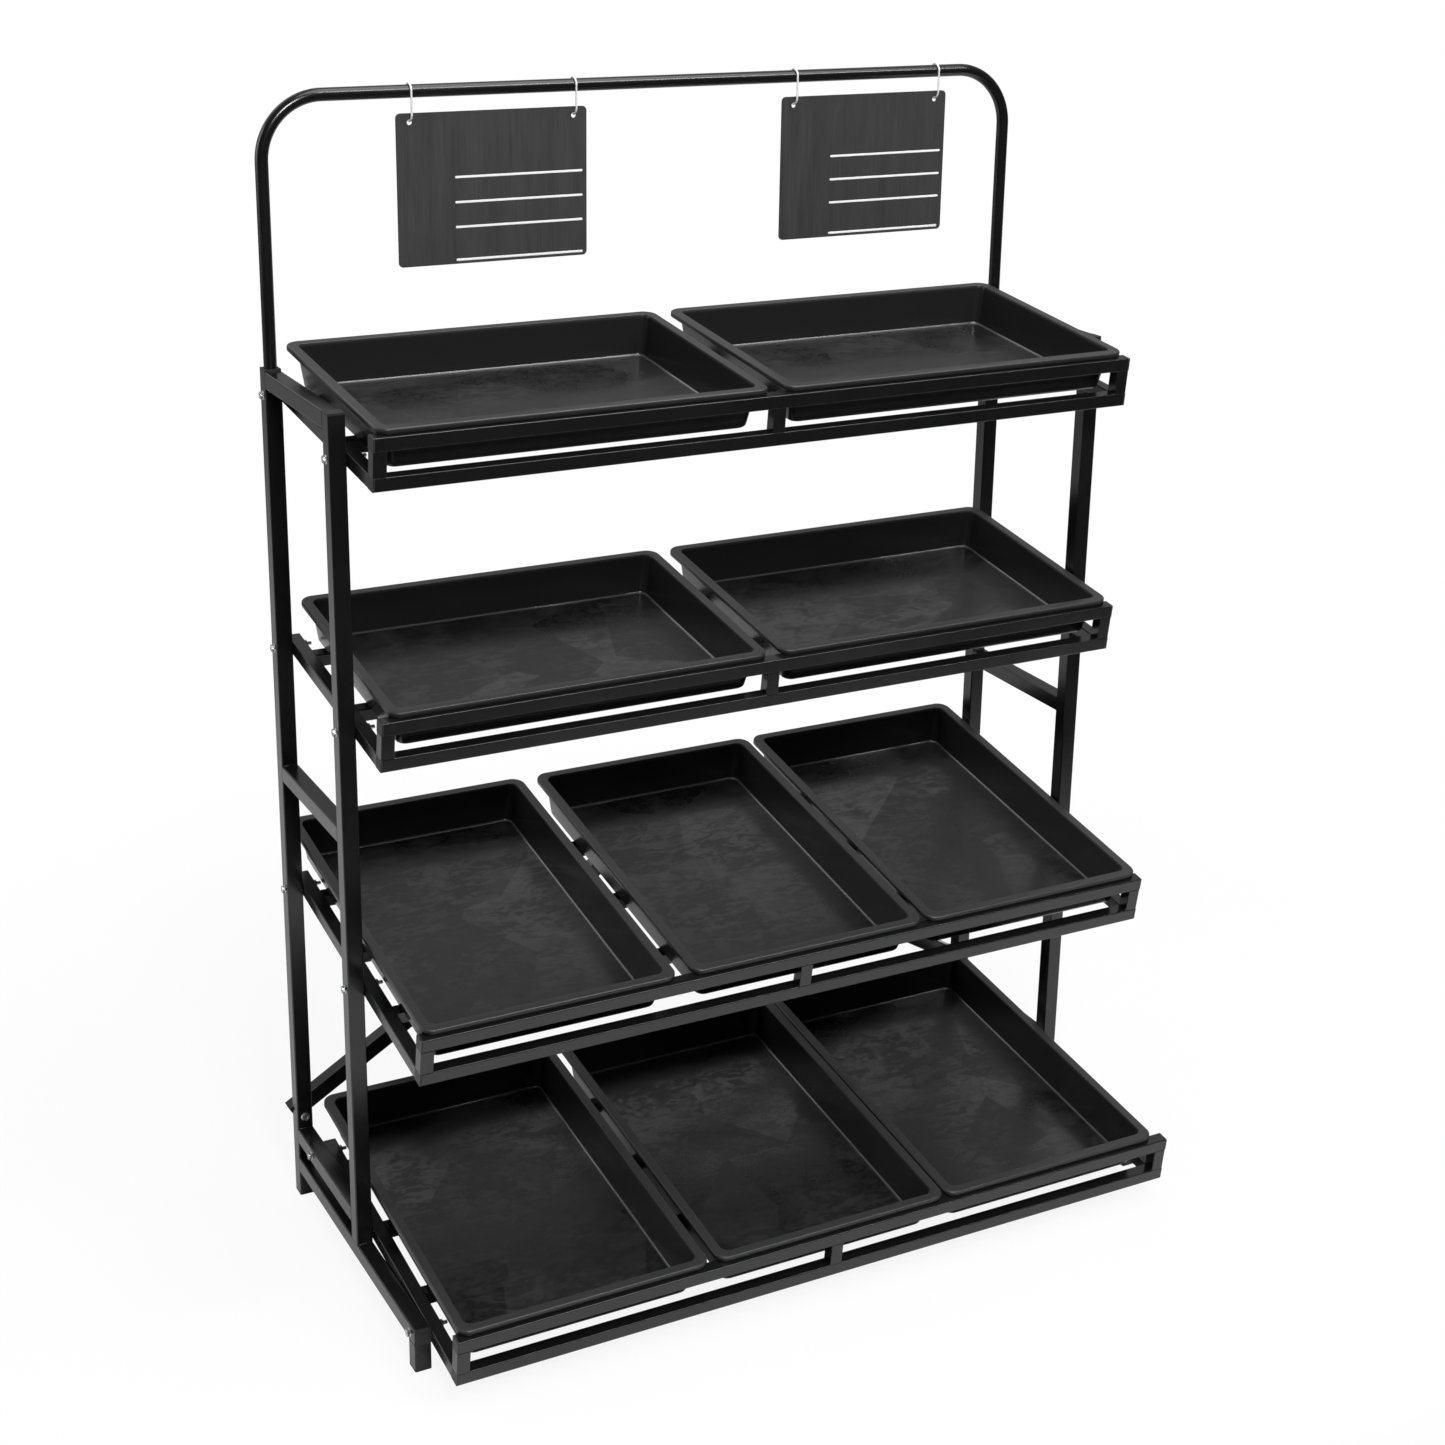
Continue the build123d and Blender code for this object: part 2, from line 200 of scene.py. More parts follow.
def trayPlastic():
    net = newNet("blackTrayPlastic")
    cloud = net.noise(trayFinish["cloud"], 5.0, 0.62, distortion=0.7)
    cloud = net.ramp(cloud, trayFinish["cloudStops"])
    patch = net.noise(trayFinish["patch"], 4.0, 0.55, trayFinish["patchStretch"], 1.2)
    patch = net.ramp(patch, trayFinish["patchStops"])
    wedge = net.ramp(net.cells(trayFinish["wedge"]), trayFinish["wedgeStops"])
    streak = net.noise(trayFinish["streak"], 6.0, 0.75, trayFinish["streakStretch"], 0.4)
    scratch = net.ramp(streak, trayFinish["scratchStops"])
    grain = net.noise(trayFinish["grain"], 2.0, 0.5)
    warp = net.noise(trayFinish["warp"], 2.0, 0.4)
    rim = net.attribute("rim")
    floor = net.attribute("floor")
    crease = net.attribute("crease")
    patch = patch * (cloud + trayFinish["patchLeast"])
    smear = cloud * trayFinish["cloudPart"] + patch * trayFinish["patchPart"]
    scuff = floor * (smear + wedge * trayFinish["wedgePart"] + scratch * trayFinish["scratchPart"])
    # The walls are painted lighter than the floor: painted light on the walls and painted shade on the floor,
    # though both are one plastic.
    bare = net.blend(floor, trayFinish["wall"], trayFinish["base"])
    worn = net.blend(scuff, bare, trayFinish["scuffed"])
    # A pale line is painted in the floor's round, a painted highlight, streaked a little.
    inRound = crease * (trayFinish["roundHighlightLeast"] + streak * trayFinish["roundHighlightStreaks"])
    dustAndHighlight = net.blend(inRound, worn, trayFinish["roundHighlight"])
    # The rim is painted paler as a painted sheen on its top and rounded edges, with streaks where it is
    # rubbed.
    rubbed = rim * (trayFinish["rimSheenLeast"] + streak * trayFinish["rubStreaks"])
    height = grain * trayFinish["grainDepth"] + warp * trayFinish["warpDepth"] * floor
    return net.finish({
        "Base Color": net.blend(rubbed, dustAndHighlight, trayFinish["rim"]),
        "Roughness": (trayFinish["gloss"] + floor * trayFinish["blur"] + rim * trayFinish["rimDull"]
                      + scuff * (trayFinish["dull"] - trayFinish["gloss"])),
        "Coat Weight": (floor * (1 - scuff * trayFinish["filmLost"]) * trayFinish["film"]
                        + crease * trayFinish["filmInRound"]),
        "Coat Roughness": trayFinish["filmRoughness"],
        "Normal": net.bump(height, 1.0),
        "IOR": trayFinish["ior"],
    })


# Plugs and bushes: a duller black plastic with a fine spark-eroded grain.
plugFinish = {"base": (0.010, 0.010, 0.010), "pale": (0.02, 0.02, 0.021), "patch": 0.012, "gloss": 0.42,
              "duller": 0.2, "grain": 0.0009, "depth": 0.00004}


def plugPlastic():
    net = newNet("blackPlugPlastic")
    grain = net.noise(plugFinish["grain"], 3.0, 0.6)
    patch = net.noise(plugFinish["patch"], 2.0, 0.5)
    return net.finish({
        "Base Color": net.blend(patch, plugFinish["base"], plugFinish["pale"]),
        "Roughness": plugFinish["gloss"] + grain * plugFinish["duller"],
        "Normal": net.bump(grain, plugFinish["depth"]),
    })


# Bright zinc plate with a faint cloudy bloom.
zincFinish = {"base": (0.62, 0.62, 0.62), "bloom": (0.42, 0.43, 0.45), "gloss": 0.2, "dull": 0.42,
              "cloud": 0.004, "cloudStops": (0.4, 0.65), "grain": 0.0006, "depth": 0.00002}


def zincPlate():
    net = newNet("zincPlate")
    bloom = net.ramp(net.noise(zincFinish["cloud"], 4.0, 0.6), zincFinish["cloudStops"])
    grain = net.noise(zincFinish["grain"], 2.0, 0.5)
    return net.finish({
        "Base Color": net.blend(bloom, zincFinish["base"], zincFinish["bloom"]),
        "Metallic": 1.0,
        "Roughness": zincFinish["gloss"] + bloom * (zincFinish["dull"] - zincFinish["gloss"]),
        "Normal": net.bump(grain, zincFinish["depth"]),
    })


# White coated wire, a little greyed where it rubs.
wireFinish = {"base": (0.82, 0.82, 0.81), "rubbed": (0.62, 0.62, 0.62), "gloss": 0.3, "duller": 0.2,
              "rub": 0.006, "rubStops": (0.5, 0.68), "grain": 0.001, "depth": 0.00003}


def coatedWire():
    net = newNet("whiteCoatedWire")
    rub = net.ramp(net.noise(wireFinish["rub"], 4.0, 0.6), wireFinish["rubStops"])
    return net.finish({
        "Base Color": net.blend(rub, wireFinish["base"], wireFinish["rubbed"]),
        "Roughness": wireFinish["gloss"] + rub * wireFinish["duller"],
        "Normal": net.bump(net.noise(wireFinish["grain"], 2.0, 0.5), wireFinish["depth"]),
    })


# Dark sheet brushed from top to bottom.
sheetFinish = {
    "dark": (0.022, 0.022, 0.0225), "pale": (0.050, 0.050, 0.051), "gloss": 0.42, "duller": 0.22,
    "line": 0.0011, "length": 0.09, "linePart": 0.65, "depth": 0.00004,
    "band": 0.018, "bandStretch": (1.0, 1.0, 0.12), "bandPart": 0.35, "markStops": (0.35, 0.68),
}


def brushedSheet():
    net = newNet("darkBrushedSheet")
    stretch = (1.0, 1.0, sheetFinish["line"] / sheetFinish["length"])
    line = net.noise(sheetFinish["line"], 4.0, 0.7, stretch)
    band = net.noise(sheetFinish["band"], 3.0, 0.6, sheetFinish["bandStretch"])
    mark = line * sheetFinish["linePart"] + band * sheetFinish["bandPart"]
    mark = net.ramp(mark, sheetFinish["markStops"])
    return net.finish({
        "Base Color": net.blend(mark, sheetFinish["dark"], sheetFinish["pale"]),
        "Roughness": sheetFinish["gloss"] + line * sheetFinish["duller"],
        "Normal": net.bump(line, sheetFinish["depth"]),
    })


# White ink of the signs' rule lines, laid a little unevenly.
inkFinish = {"thin": (0.88, 0.88, 0.88), "full": (0.94, 0.94, 0.94), "patch": 0.003, "gloss": 0.45,
             "duller": 0.1}


def printInk():
    net = newNet("paleRuleInk")
    patch = net.noise(inkFinish["patch"], 3.0, 0.6)
    return net.finish({
        "Base Color": net.blend(patch, inkFinish["thin"], inkFinish["full"]),
        "Roughness": inkFinish["gloss"] + patch * inkFinish["duller"],
    })


finish = {"frame": powderCoat(), "tray": trayPlastic(), "plug": plugPlastic(), "zinc": zincPlate(),
          "wire": coatedWire(), "sheet": brushedSheet(), "ink": printInk()}
print("finishes made")


# Surfaces
# A surface is a grid of points, joined by four-sided faces. Its columns run round, and its rows may too.
def gridFaces(rows, columns, ringRows):
    row, column = np.meshgrid(np.arange(rows - (not ringRows)), np.arange(columns), indexing="ij")
    nextRow, nextColumn = (row + 1) % rows, (column + 1) % columns
    corners = [row * columns + column, row * columns + nextColumn,
               nextRow * columns + nextColumn, nextRow * columns + column]
    return np.stack(corners, -1).reshape(-1, 4)


# One closed shell from such a grid. Unless the rows run round, the first and the last are filled with a face
# each. The volume's sign says whether the faces look outwards.
def closedShell(grid, ringRows=False):
    rows, columns = grid.shape[:2]
    points = grid.reshape(-1, 3)
    quads = gridFaces(rows, columns, ringRows)
    caps = [] if ringRows else [np.arange(columns)[::-1], np.arange(columns) + (rows - 1) * columns]
    corner = points[quads]
    volume = np.einsum("ij,ij->", corner[:, 0], np.cross(corner[:, 1], corner[:, 2]))
    volume += np.einsum("ij,ij->", corner[:, 0], np.cross(corner[:, 2], corner[:, 3]))
    for cap in caps:
        fan = points[cap]
        first = np.broadcast_to(fan[0], fan[1:-1].shape)
        volume += np.einsum("ij,ij->", first, np.cross(fan[1:-1], fan[2:]))
    if volume < 0:
        quads = quads[:, ::-1]
        caps = [cap[::-1] for cap in caps]
    return points, quads, caps


# A piece is one mesh made of closed shells, with smooth faces and the sharp edges kept.
def addPiece(name, shells, material, body, replaced=(), sharp=40.0, marks=None):
    points, faces, start = [], [], 0
    for shellPoints, quads, caps in shells:
        points.append(shellPoints)
        faces.extend((quads + start).tolist())
        faces.extend((cap + start).tolist() for cap in caps)
        start += len(shellPoints)
    mesh = bpy.data.meshes.new(name)
    mesh.from_pydata(np.concatenate(points).tolist(), [], faces)
    mesh.polygons.foreach_set("use_smooth", np.ones(len(faces), bool))
    mesh.set_sharp_from_angle(angle=math.radians(sharp))
    for mark, values in (marks or {}).items():
        mesh.attributes.new(mark, "FLOAT", "POINT").data.foreach_set("value", values.astype(np.float32))
    mesh.materials.append(material)
    mesh.validate()
    mesh.update()
    piece = bpy.data.objects.new(name, mesh)
    bpy.context.scene.collection.objects.link(piece)
    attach(piece, body)
    if replaced:
        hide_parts(*replaced)


# A line through corners, each rounded by an arc that touches both of its runs.
def roundedLine(corners, radii, steps):
    corners = np.array(corners, float)
    line = [corners[:1]]
    for before, corner, after, radius in zip(corners[:-2], corners[1:-1], corners[2:], radii):
        one = (before - corner) / np.linalg.norm(before - corner)
        two = (after - corner) / np.linalg.norm(after - corner)
        angle = math.acos(np.clip(one @ two, -1, 1))
        centre = corner + (one + two) / np.linalg.norm(one + two) * radius / math.sin(angle / 2)
        first = corner + one * radius / math.tan(angle / 2) - centre
        last = corner + two * radius / math.tan(angle / 2) - centre
        turn = math.pi - angle
        share = np.linspace(0, 1, steps + 1)[:, None]
        arc = (first * np.sin((1 - share) * turn) + last * np.sin(share * turn)) / math.sin(turn)
        line.append(centre + arc)
    line.append(corners[-1:])
    return np.concatenate(line)


# A round rod along a flat path: each ring stands square to the path, whose plane is given by its normal.
def rodAlong(path, radius, normal, sides):
    path = np.asarray(path, float)
    radius = np.broadcast_to(np.asarray(radius, float), len(path))
    along = np.gradient(path, axis=0)
    along /= np.linalg.norm(along, axis=1)[:, None]
    normal = np.asarray(normal, float)
    across = np.cross(along, normal)
    turn = np.linspace(0, 2 * np.pi, sides, endpoint=False)
    ring = np.cos(turn)[None, :, None] * normal + np.sin(turn)[None, :, None] * across[:, None, :]
    return closedShell(path[:, None, :] + ring * radius[:, None, None])


# Shelves
# Each shelf's own axes start at the lip: across the rack, back along the side rails, and square to them.
# "rear" and "front" are the bolts' places in Y and Z, "tail" the side rails' length behind the rear bolt.
shelves = {
    1: {"rear": (rearPostY, 1.314), "front": (frontPostY, 1.285), "tail": 0.017, "depth": 0.408,
        "bars": 2, "pitch": 0.182, "trayGaps": (0.008, 0.026)},
    2: {"rear": (rearPostY, 0.928), "front": (frontPostY, 0.890), "tail": 0.017, "depth": 0.408,
        "bars": 2, "pitch": 0.182, "trayGaps": (0.014, 0.022)},
    3: {"rear": (rearPostY, 0.534), "front": (frontPostY, 0.490), "tail": 0.0245, "depth": 0.540,
        "bars": 3, "pitch": 0.159, "trayGaps": (0.005, 0.024, 0.009)},
    4: {"rear": (backY - 0.090, 0.1075), "front": (backY - 0.5209, 0.0555), "tail": 0.016, "depth": 0.568,
        "bars": 3, "pitch": 0.159, "trayGaps": (0.005, 0.012, 0.003)},
}


# The line through the two bolts gives the slope. The start lies on the underside, at the lip's front face.
def shelfFrame(number):
    shelf = shelves[number]
    run = shelf["rear"][0] - shelf["front"][0]
    fall = shelf["rear"][1] - shelf["front"][1]
    slope = math.atan2(fall, run)
    back = np.array([0, math.cos(slope), math.sin(slope)])
    up = np.array([0, -math.sin(slope), math.cos(slope)])
    reach = shelf["depth"] - shelf["tail"] - math.hypot(run, fall)
    start = np.array([0, *shelf["front"]]) - back * reach - up * rack["bar"] / 2
    return start, back, up


# Points given in a shelf's own axes, placed in the rack.
def onShelf(number, points):
    start, back, up = shelfFrame(number)
    points = np.asarray(points, float)
    return start + points[..., :1] * (1, 0, 0) + points[..., 1:2] * back + points[..., 2:] * up


# Trays
# The tray's section is carried round a rounded rectangle. Each point of it has an inset and a height.
tray = {
    "length": 0.590, "width": 0.393, "height": 0.0645, "wall": 0.0025, "rim": 0.015, "taper": 0.010,
    "skirt": 0.008, "corner": 0.020, "cornerShrink": 0.5, "floorRound": 0.004, "baseRound": 0.007,
    "rimRound": 0.0026, "edgeRound": 0.0011, "skirtRound": 0.00088, "floorBorder": 0.030, "roundSteps": 6,
    "cornerSteps": 10, "sideSteps": 12, "wallShares": (0.08, 0.91), "sheenAndRubSkirt": 0.6,
    "sheenAndRubPast": 0.001, "fromLip": 0.007, "seatGap": 0.0003, "sharp": 50,
}


# Rounded corners run from the floor up the inner wall, over the rim, down the skirt and back under the floor.
# Two more points on the inner wall, near its foot and its top, keep the marks of floor and rim off the wall.
def traySection():
    wall, rim, taper, height = tray["wall"], tray["rim"], tray["taper"], tray["height"]
    deep = rim + taper
    border = deep + tray["floorBorder"]
    skirtFoot = height - tray["skirt"]
    edge, skirt = tray["edgeRound"], tray["skirtRound"]
    corners = [
        (border, wall), (deep, wall), (rim, height), (0, height), (0, skirtFoot), (wall, skirtFoot),
        (wall, height - wall), (rim - wall, height - wall), (deep - wall, 0), (border, 0),
    ]
    radii = [tray["floorRound"], edge, tray["rimRound"], skirt, skirt, edge, edge, tray["baseRound"]]
    line = roundedLine(corners, radii, tray["roundSteps"])
    onWall = [(deep - taper * share, wall + (height - wall) * share) for share in tray["wallShares"]]
    return np.insert(line, tray["roundSteps"] + 2, onWall, axis=0)


# Rounded rectangles by half sizes and corner radius: four arcs, with points spread along the sides between.
def roundedRectangle(halfX, halfY, radius):
    turn = np.linspace(0, np.pi / 2, tray["cornerSteps"] + 1)
    share = np.linspace(0, 1, tray["sideSteps"] + 2)[1:-1]
    rings = []
    for quarter in range(4):
        angle = turn + quarter * np.pi / 2
        signX, signY = [(1, 1), (-1, 1), (-1, -1), (1, -1)][quarter]
        x = signX * (halfX - radius)[:, None] + radius[:, None] * np.cos(angle)
        y = signY * (halfY - radius)[:, None] + radius[:, None] * np.sin(angle)
        rings.append(np.stack([x, y], -1))
    outline = []
    for quarter in range(4):
        one, two = rings[quarter][:, -1:], rings[(quarter + 1) % 4][:, :1]
        outline += [rings[quarter], one + (two - one) * share[None, :, None]]
    return np.concatenate(outline, axis=1)


# Each point of the section makes one ring inside the tray's outline, with a corner that shrinks inwards. The
# rings of the rim, the floor and the round between floor and wall are marked for the material.
def trayShell(sizeX, sizeY):
    section = traySection()
    inset, height = section[:, 0], section[:, 1]
    radius = tray["corner"] - np.minimum(inset, tray["rim"]) * tray["cornerShrink"]
    outline = roundedRectangle(sizeX / 2 - inset, sizeY / 2 - inset, radius)
    tall = np.broadcast_to(height[:, None, None], (*outline.shape[:2], 1))
    grid = np.concatenate([outline, tall], axis=2)
    # The rim's painted sheen covers its top, its rounded edges and the upper part of the skirt.
    sheenAndRubFrom = tray["height"] - tray["skirt"] * tray["sheenAndRubSkirt"]
    rim = (height > sheenAndRubFrom) & (inset < tray["rim"] + tray["sheenAndRubPast"])
    order = np.arange(len(section))
    floor = order < 2
    crease = (order > 1) & (order < tray["roundSteps"])
    marks = {name: np.repeat(part * 1.0, outline.shape[1])
             for name, part in (("rim", rim), ("floor", floor), ("crease", crease))}
    return grid, marks


def addTrays():
    for number, shelf in shelves.items():
        gaps = shelf["trayGaps"]
        if len(gaps) == 2:
            names, sizeX, sizeY = ("left", "right"), tray["length"], tray["width"]
        else:
            names, sizeX, sizeY = ("left", "middle", "right"), tray["width"], tray["length"]
        edge = -innerHalf
        for name, gap in zip(names, gaps):
            grid, marks = trayShell(sizeX, sizeY)
            edge += gap
            seat = np.array([edge + sizeX / 2, tray["fromLip"] + sizeY / 2, rack["bar"] + tray["seatGap"]])
            edge += sizeX
            shell = closedShell(onShelf(number, grid + seat))
            node = f"shelf_{number}_{name}_tray"
            addPiece(f"{node}_moulding", [shell], finish["tray"], node, [node],
                     tray["sharp"], marks)
    print("trays made")


# Header arch
arch = {"tube": 0.019, "rise": 0.387, "bend": 0.090, "bendSteps": 28, "footBelow": 0.033, "sides": 32}


# A round tube up from one rear post, over two bends and down into the other.
def addArch():
    top = rack["postHeight"] + arch["rise"]
    foot = rack["postHeight"] - arch["footBelow"]
    corners = [(-postX, foot), (-postX, top), (postX, top), (postX, foot)]
    line = roundedLine(corners, [arch["bend"]] * 2, arch["bendSteps"])
    path = np.stack([line[:, 0], np.full(len(line), rearPostY), line[:, 1]], -1)
    shell = rodAlong(path, arch["tube"] / 2, (0, 1, 0), arch["sides"])
    addPiece("header_arch_tube", [shell], finish["frame"], "rack", ["header_arch"])
    print("header arch made")


# Signs
sign = {"width": 0.300, "thickness": 0.002, "holeFromSide": 0.021, "holeFromTop": 0.013, "hole": 0.008,
        "left": -0.273, "right": 0.3595}
hook = {"wire": 0.003, "drop": 0.031, "gap": 0.0003, "holeGap": 0.0006, "topTail": 0.008, "tipShare": 0.9,
        "tipRadius": 0.00108, "lowTurn": 55, "overSteps": 25, "underSteps": 21, "sides": 14}
# The rule's section is given in half thicknesses up the sign and in heights out of its face.
rule = {"from": 0.0895, "to": 0.293, "below": (0.0948, 0.1313, 0.1677, 0.2160), "thick": 0.0034,
        "proud": 0.00012, "endShare": 0.8,
        "section": ((-1, -0.5), (-1, 0.6), (-0.85, 1), (0.85, 1), (1, 0.6), (1, -0.5))}


# A hook lies in one plane. It runs up a short tail behind the arch, over the arch, and down in front of it.
# Its lower end turns back through the sign's hole.
def hookShell(x):
    radius = arch["tube"] / 2 + hook["gap"] + hook["wire"] / 2
    top = rack["postHeight"] + arch["rise"]
    low = top - hook["drop"]
    over = np.linspace(0, math.pi, hook["overSteps"])
    under = np.linspace(math.pi, 1.5 * math.pi + math.radians(hook["lowTurn"]), hook["underSteps"])
    y = np.concatenate([[1, 1], np.cos(over)[1:], np.cos(under)]) * radius + rearPostY
    tail = [top - hook["topTail"], top - hook["topTail"] * hook["tipShare"]]
    z = np.concatenate([tail, top + np.sin(over)[1:] * radius, low + np.sin(under) * radius])
    path = np.stack([np.full(len(y), x), y, z], -1)
    radii = np.full(len(path), hook["wire"] / 2)
    radii[0] = radii[-1] = hook["tipRadius"]
    return rodAlong(path, radii, (1, 0, 0), hook["sides"])


# A flat strip with its long edges rounded over, standing just proud of the sign's face.
def ruleShell(x0, x1, z, face):
    half, share = rule["thick"] / 2, rule["endShare"]
    up, out = np.array(rule["section"]).T
    rings = []
    for x, grow in ((x0, share), (x0 + half, 1), (x1 - half, 1), (x1, share)):
        ring = np.stack([np.full(len(up), x), face - out * rule["proud"], z + up * half * grow], -1)
        rings.append(ring)
    return closedShell(np.array(rings))


def addSigns():
    radius = arch["tube"] / 2 + hook["gap"] + hook["wire"] / 2
    low = rack["postHeight"] + arch["rise"] - hook["drop"] - radius
    plateTop = low + hook["wire"] / 2 + hook["holeGap"] - sign["hole"] / 2 + sign["holeFromTop"]
    for side in ("left", "right"):
        x = sign[side]
        reach = sign["width"] / 2 - sign["holeFromSide"]
        hooks = [hookShell(x - reach), hookShell(x + reach)]
        addPiece(f"{side}_sign_wires", hooks, finish["wire"], f"{side}_sign_hooks",
                 [f"{side}_sign_hooks"])
        start = x - sign["width"] / 2
        face = rearPostY - sign["thickness"] / 2
        rules = [ruleShell(start + rule["from"], start + rule["to"], plateTop - below, face)
                 for below in rule["below"]]
        addPiece(f"{side}_sign_rules", rules, finish["ink"], f"{side}_sign_plate")
    print("signs made")


# Fasteners
bolt = {"size": 0.006, "flats": 0.010, "headHeight": 0.004, "flange": 0.014, "flangeThick": 0.0012,
        "headSides": 48, "spare": 0.012, "pitch": 0.001, "rowsPerPitch": 4, "threadDepth": 0.0003,
        "leadDepth": 0.0004, "threadSides": 12, "nutHeight": 0.005, "nutSides": 36, "sharp": 30}


# Rings round an axis. Each row is a height, a radius and, where the ring is cut to a hexagon, half its flats.
def turnedShell(place, along, rows, sides, ringRows=False):
    along = np.asarray(along, float)
    first = np.array([0, 0, 1.0]) if abs(along[2]) < 0.9 else np.array([1.0, 0, 0])
    second = np.cross(along, first)
    turn = np.linspace(0, 2 * np.pi, sides, endpoint=False)
    height, radius, flats = (np.array(part, float)[:, None] for part in zip(*rows))
    hexagon = flats / np.cos((turn + np.pi / 6) % (np.pi / 3) - np.pi / 6)
    size = np.where(flats > 0, np.minimum(radius, hexagon), radius)
    grid = (np.asarray(place) + along * height[..., None]
            + (np.cos(turn) * first[:, None]).T * size[..., None]
            + (np.sin(turn) * second[:, None]).T * size[..., None])
    return closedShell(grid, ringRows)


# The head is a rounded flange that rises into a chamfered hexagon with a dished top. The shank shows only
# where its thread stands out of the nut. Its radius falls and rises once a pitch, along and round the shank.
def boltShells(place, along, grip):
    half, flange, thick = bolt["flats"] / 2, bolt["flange"] / 2, bolt["flangeThick"]
    top = thick + bolt["headHeight"]
    head = [
        (0, flange * 0.97, 0), (-thick * 0.3, flange, 0), (-thick * 0.75, flange * 0.97, 0),
        (-thick * 1.3, half * 1.16, half), (-top * 0.9, half * 1.15, half), (-top, half, half),
        (-top, half * 0.72, 0), (-top * 0.93, half * 0.6, 0), (-top * 0.9, half * 0.2, 0),
    ]
    shells = [turnedShell(place, along, head, bolt["headSides"])]
    start, end = grip - bolt["pitch"], grip + bolt["spare"]
    count = int((end - start) / bolt["pitch"] * bolt["rowsPerPitch"])
    height = np.linspace(start, end, count)
    turn = np.linspace(0, 2 * np.pi, bolt["threadSides"], endpoint=False)
    wave = np.abs(((height[:, None] / bolt["pitch"] - turn / (2 * np.pi)) % 1) - 0.5) * 2
    fade = np.clip((end - height) / bolt["pitch"], 0, 1)[:, None]
    radius = bolt["size"] / 2 - bolt["threadDepth"] * wave - bolt["leadDepth"] * (1 - fade)
    first = np.array([0, 0, 1.0])
    second = np.cross(along, first)
    grid = (np.asarray(place) + np.asarray(along, float) * height[:, None, None]
            + np.cos(turn)[None, :, None] * first * radius[..., None]
            + np.sin(turn)[None, :, None] * second * radius[..., None])
    return shells + [closedShell(grid)]


# A hexagon with its corners turned off at both ends and a chamfered bore.
def nutShell(place, along):
    half, tall = bolt["flats"] / 2, bolt["nutHeight"]
    bore = bolt["size"] / 2 - bolt["threadDepth"]
    rows = [
        (0, bore, 0), (0, half * 1.02, half), (tall * 0.1, half * 1.15, half),
        (tall * 0.9, half * 1.15, half), (tall, half, half), (tall, bore + 2 * bolt["threadDepth"], 0),
        (tall * 0.9, bore, 0),
    ]
    return turnedShell(place, along, rows, bolt["nutSides"], True)


def addFasteners():
    bolts, nuts = [], []
    grip = rack["tube"] + rack["bar"]
    for side in (-1, 1):
        inward = (-side, 0, 0)
        for shelf in shelves.values():
            for y, z in (shelf["rear"], shelf["front"]):
                bolts += boltShells((side * rack["width"] / 2, y, z), inward, grip)
                nuts.append(nutShell((side * (innerHalf - rack["bar"]), y, z), inward))
        x, z = side * postX, rack["braceBolt"]
        bolts += boltShells((x, backY - rack["tube"], z), (0, 1, 0), 2 * rack["tube"])
        nuts.append(nutShell((x, backY + rack["tube"], z), (0, 1, 0)))
    addPiece("frame_bolts_threaded", bolts, finish["zinc"], "rack", ["frame_bolts"],
             bolt["sharp"])
    addPiece("frame_nuts_chamfered", nuts, finish["zinc"], "rack", ["frame_nuts"],
             bolt["sharp"])
    print("fasteners made")


# Welds
# A bead is a short rippled run along the corner of two tubes, tapered at both ends. Beads go where the CAD's
# tubes meet.
bead = {"radius": 0.0019, "ripple": 0.16, "step": 0.0028, "rows": 25, "sides": 8, "taperPower": 8,
        "taperLeast": 0.05, "endShare": 0.1, "halfShare": 0.42, "aside": (0.3, 0.5, 0.8), "sharp": 60}


# A straight rod. Its radius dips once a step like the arches of a sine, and falls off near both ends.
def beadShell(start, end):
    start, end = np.array(start, float), np.array(end, float)
    length = np.linalg.norm(end - start)
    share = np.linspace(0, 1, bead["rows"])
    taper = np.sqrt(np.clip(1 - np.abs(2 * share - 1) ** bead["taperPower"], bead["taperLeast"], 1))
    ripple = 1 - bead["ripple"] * np.abs(np.sin(share * length / bead["step"] * np.pi))
    path = start + share[:, None] * (end - start)
    along = (end - start) / length
    normal = np.cross(along, bead["aside"])
    return rodAlong(path, bead["radius"] * taper * ripple, normal / np.linalg.norm(normal), bead["sides"])


# Beads lie round the ends of the lip's uprights, and where the side rails meet the front rail and cross bars.
def shelfWelds(number):
    shelf = shelves[number]
    bar, lip = rack["bar"], rack["lipHeight"]
    low, high, half = bar * bead["endShare"], bar * (1 - bead["endShare"]), bar * bead["halfShare"]
    sideX = innerHalf - bar / 2
    runs = []
    for x in (-sideX, 0, sideX):
        for edge in (x - bar / 2, x + bar / 2):
            if abs(edge) < innerHalf - low:
                for z in (bar, lip - bar):
                    runs.append(((edge, low, z), (edge, high, z)))
        for z in (bar, lip - bar):
            runs.append(((x - half, bar, z), (x + half, bar, z)))
    last = shelf["depth"] - rack["crossBarFromBack"]
    for side in (-1, 1):
        x = side * (innerHalf - bar)
        runs.append(((x, bar, low), (x, bar, high)))
        for step in range(shelf["bars"]):
            for edge in (-bar / 2, bar / 2):
                y = last - step * shelf["pitch"] + edge
                runs.append(((x, y, low), (x, y, high)))
    return [beadShell(*onShelf(number, run)) for run in runs]


